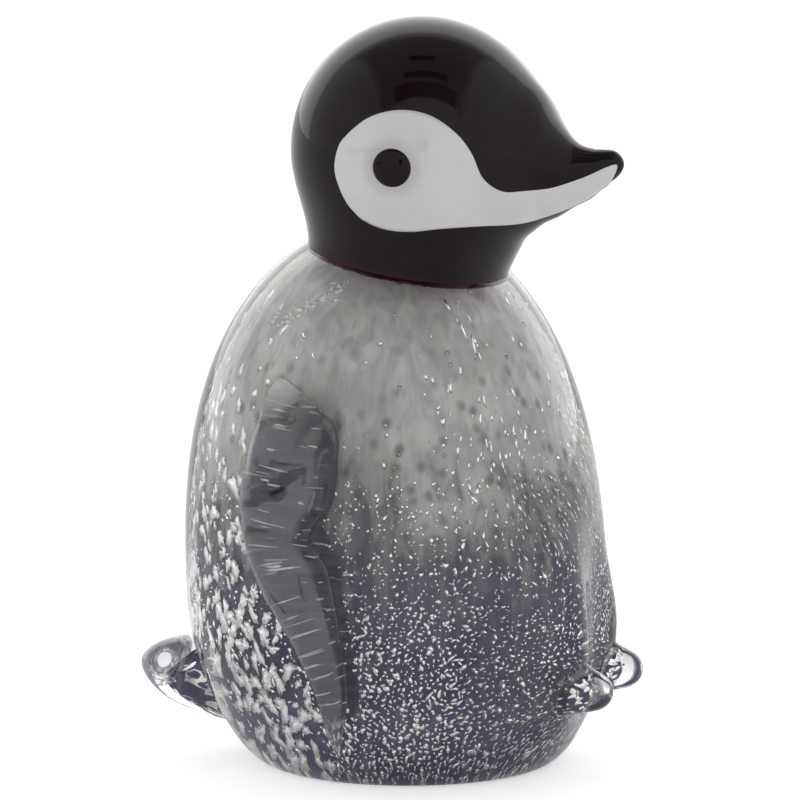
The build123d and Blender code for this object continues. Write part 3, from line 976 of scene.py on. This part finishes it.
def white_glass():
    """Milky enamel: cloudy grey-white that thins out downwards and is pricked with soft dark spots."""
    material, tree, shader = new_material("milky_enamel_glass")
    where = tree.place()
    cloud = tree.noise(where, 0.1, 4.0, 0.55)
    streaks = tree.noise(tree.place((1.0, 1.0, 0.3)), 0.3, 3.0, 0.55, 0.4)
    colour = tree.mix(tree.ramp(cloud, 0.32, 0.68), (0.49, 0.48, 0.465), (0.66, 0.65, 0.61))
    colour = tree.mix(tree.math("MULTIPLY", tree.ramp(streaks, 0.42, 0.66), 0.55), colour, (0.34, 0.33, 0.335))
    yellow = tree.noise(where, 0.16, 2.0)
    colour = tree.mix(tree.math("MULTIPLY", tree.ramp(yellow, 0.58, 0.74), 0.35), colour, (0.50, 0.50, 0.36))
    inputs = {"Vector": tree.place((1.0, 1.0, 0.8)), "Scale": 0.29, "Randomness": 0.9}
    prick = tree.ramp(tree.add("ShaderNodeTexVoronoi", inputs).outputs["Distance"], 0.05, 0.42, 1.0, 0.0)
    height = tree.axis(where, "Z")
    prick = tree.math("MULTIPLY", prick, tree.ramp(height, 95.0, 70.0, 0.0, 0.88))
    colour = tree.mix(prick, colour, (0.20, 0.19, 0.21))
    patches = tree.noise(where, 0.05, 2.0)
    cover = tree.ramp(tree.math("MULTIPLY_ADD", patches, 44.0, height), 36.0, 108.0, -0.3, 1.12)
    cover = tree.math("ADD", cover, tree.math("MULTIPLY_ADD", streaks, 2.0, -1.0))
    cover = tree.math("SUBTRACT", tree.ramp(cover, 0.1, 0.95), tree.math("MULTIPLY", tree.zone(), 0.95))
    tree.feed(shader, {"Base Color": colour, "Alpha": tree.math("MAXIMUM", cover, 0.0), **FUSED})
    return material


def leaf_metal(name, metallic, roughness):
    """Silver leaf, crumpled a little, with a few dull patches."""
    material, tree, shader = new_material(name)
    grain = tree.noise(tree.place(), 2.2, 3.0, 0.6)
    colour = tree.mix(tree.ramp(grain, 0.3, 0.7), (0.90, 0.895, 0.88), (1.0, 1.0, 0.99))
    dullness = tree.ramp(grain, 0.3, 0.7, roughness * 1.25, roughness * 0.75)
    tree.bump(shader, grain, 0.15, 0.1)
    tree.feed(shader, {"Base Color": colour, "Roughness": dullness, "Metallic": metallic})
    return material


def black_glass():
    """Black glass with an amethyst-brown depth, a wet gloss and a dark red edge at the seam."""
    material, tree, shader = new_material("black_amethyst_glass")
    mask = add_melt(tree, shader, 14.0, 0.16)
    colour = tree.mix(mask, (0.0075, 0.0035, 0.0045), (0.0095, 0.006, 0.0085))
    where = tree.place()
    seam = tree.math("MULTIPLY_ADD", tree.axis(where, "Y"), -math.tan(NECK_TILT), tree.axis(where, "Z"))
    edge = tree.ramp(seam, NECK_HEIGHT, NECK_HEIGHT + 1.3, 1.0, 0.0)
    colour = tree.mix(edge, colour, (0.032, 0.004, 0.006))
    tree.feed(shader, {"Base Color": colour, "Roughness": tree.ramp(mask, 0.0, 1.0, 0.015, 0.05)})
    tree.feed(shader, {"IOR": GLASS_INDEX, "Specular IOR Level": 0.15})
    return material


def opal_glass():
    """Opaque white glass, with painted shade darkening it in a ring round the eye."""
    material, tree, shader = new_material("opal_white_inlay_glass")
    cloud = add_melt(tree, shader, 16.0, 0.1, 0.25)
    colour = tree.mix(cloud, (0.54, 0.54, 0.55), (0.50, 0.50, 0.52))
    centre = (0.0, SKULL[1] - EYE_FORWARD, SKULL[2] + EYE_RISE)
    flat = tree.vector("MULTIPLY", tree.place(), (0.0, 1.0, 1.0)).outputs[0]
    near = tree.vector("DISTANCE", flat, centre).outputs["Value"]
    # Painted shade: the white darkens in a ring just round the eye's edge.
    painted_eye_shade = tree.ramp(near, EYE_RADIUS, EYE_RADIUS + 3.5, 0.5, 0.0)
    colour = tree.mix(painted_eye_shade, colour, (0.30, 0.29, 0.31))
    tree.feed(shader, {"Base Color": colour, "Roughness": 0.06, "IOR": GLASS_INDEX})
    return material


def dress(pieces, material):
    """Gives every piece that material."""
    for piece in pieces:
        piece.data.materials.clear()
        piece.data.materials.append(material)


# Stage, light and camera

def make_floor():
    """Pale floor: a wide sheet, with a slight grain."""
    mesh = bpy.data.meshes.new("pale_floor")
    half, low = FLOOR_HALF * MM, -FLOOR_GAP * MM
    corners = [(-half, -half, low), (half, -half, low), (half, half, low), (-half, half, low)]
    mesh.from_pydata(corners, [], [(0, 1, 2, 3)])
    floor = bpy.data.objects.new("pale_floor", mesh)
    bpy.context.scene.collection.objects.link(floor)
    material, tree, shader = new_material("pale_paper")
    grain = tree.noise(tree.place(), 0.02)
    glow = tree.ramp(tree.seen(), 0.0, 1.0, *FLOOR_GLOW)
    tree.feed(shader, {"Base Color": tree.mix(grain, (0.90, 0.90, 0.90), (0.93, 0.93, 0.93)), "Roughness": 0.9})
    tree.feed(shader, {"Emission Color": WHITE, "Emission Strength": glow})
    mesh.materials.append(material)


def view_axes():
    """Unit vectors from the object to the camera, to the picture's right and up it."""
    a, e = VIEW_AZIMUTH, VIEW_ELEVATION
    back = Vector((math.sin(a) * math.cos(e), -math.cos(a) * math.cos(e), math.sin(e)))
    right = Vector((math.cos(a), math.sin(a), 0.0))
    return back, right, back.cross(right)


def panel(tree, level, place, facing, shape):
    """The tent's level with one darker soft-edged panel, by its middle, half sizes and own level."""
    def away(there, middle, half):
        return tree.math("DIVIDE", tree.math("ABSOLUTE", tree.math("SUBTRACT", there, middle)), half)

    x, y, half_x, half_y, dim = shape
    edge = tree.math("MAXIMUM", away(place[0], x, half_x), away(place[1], y, half_y))
    share = tree.math("MULTIPLY", tree.ramp(edge, 0.9, 1.1, 1.0, 0.0), facing)
    kept = tree.math("MULTIPLY", level, tree.math("SUBTRACT", 1.0, share))
    return tree.math("MULTIPLY_ADD", share, dim, kept)


def make_light():
    """Soft tent: bright behind the object, dimmer towards the camera, with a few darker panels.

    The camera itself sees it as plain white.
    """
    world = bpy.data.worlds.new("soft_tent")
    bpy.context.scene.world = world
    world.use_nodes = True
    tree = Tree(world.node_tree)
    direction = tree.add("ShaderNodeTexCoord").outputs["Generated"]
    back, right, up = view_axes()

    def along(axis):
        return tree.vector("DOT_PRODUCT", direction, tuple(axis)).outputs["Value"]

    ahead, across, above = along(back), along(right), along(up)
    level = tree.ramp(ahead, *LIGHT_EDGE, FRONT_LIGHT, BACK_LIGHT)
    front, overhead = tree.ramp(ahead, -0.35, -0.30), tree.ramp(above, 0.35, 0.45)
    for shape in DARK_PANELS:
        level = panel(tree, level, (across, above), front, shape)
    for shape in OVERHEAD_PANELS:
        level = panel(tree, level, (across, ahead), overhead, shape)
    seen = tree.seen()
    level = tree.math("MULTIPLY_ADD", level, tree.math("SUBTRACT", 1.0, seen), seen)
    tree.feed(world.node_tree.nodes["Background"], {"Color": WHITE, "Strength": level})


def make_camera():
    """Long lens at the photograph's angle, placed so that the base's centre falls on its pixel."""
    back, right, up = view_axes()
    per_pixel = MM / PIXELS_PER_MM
    shift_right = (IMAGE_SIZE / 2 - ORIGIN_PIXEL[0]) * per_pixel
    shift_up = (ORIGIN_PIXEL[1] - IMAGE_SIZE / 2) * per_pixel
    camera = bpy.data.cameras.new("camera")
    camera.sensor_width = 36.0
    camera.lens = camera.sensor_width * VIEW_DISTANCE / (IMAGE_SIZE * per_pixel)
    camera.clip_start, camera.clip_end = 0.05, 20.0
    holder = bpy.data.objects.new("camera", camera)
    holder.location = right * shift_right + up * shift_up + back * VIEW_DISTANCE
    holder.rotation_mode = "QUATERNION"
    holder.rotation_quaternion = (-back).to_track_quat("-Z", "Y")
    bpy.context.scene.collection.objects.link(holder)
    bpy.context.scene.camera = holder


make_camera()
make_floor()
make_light()
bpy.context.scene.view_settings.view_transform = "Standard"

casing, core, veil = make_body()
leaf = make_leaf()
seeds = make_seeds()
head = make_head()
inlays = [make_inlay(f"{name}_cheek_inlay", f"{name}_face_patch", side) for name, side in SIDES]
eyes = [make_eye(f"{name}_eye_dot", f"{name}_eye", side) for name, side in SIDES]
wings = [make_wing(f"{name}_wing_glass", f"{name}_wing", -side) for name, side in SIDES]
foot_shape = (FOOT_HEIGHT, -1, -FOOT_REACH, FOOT_RADIUS, FOOT_RADIUS, FOOT_POWER, FOOT_FLARE, 0.0)
feet = [make_nub(f"{name}_foot_glass", f"{name}_foot", side * FOOT_SPREAD, *foot_shape) for name, side in SIDES]
tail_shape = (TAIL_HEIGHT, 1, TAIL_REACH, TAIL_HALF_WIDTH, TAIL_HALF_HEIGHT, TAIL_POWER, TAIL_FLARE, TAIL_RISE)
tail = make_nub("tail_glass", "tail", 0.0, *tail_shape)
linings = [make_lining(f"{name}_wing_lining", -side) for name, side in SIDES]
# Rings that paint the tail's highlight loop and its dark refracted ring.
swirl = make_painted_tail_rings()

dress([casing, tail, *wings, *feet], clear_glass())
dress([seeds], seed_gas())
dress([core], grey_glass())
dress(linings, lining_glass())
dress([swirl], painted_tail_highlight_material())
dress([veil], white_glass())
dress(leaf[:1], leaf_metal("crackled_silver_leaf", 0.48, 0.34))
dress(leaf[1:], leaf_metal("crumbled_silver_leaf", 0.9, 0.2))
dress([head, *eyes], black_glass())
dress(inlays, opal_glass())
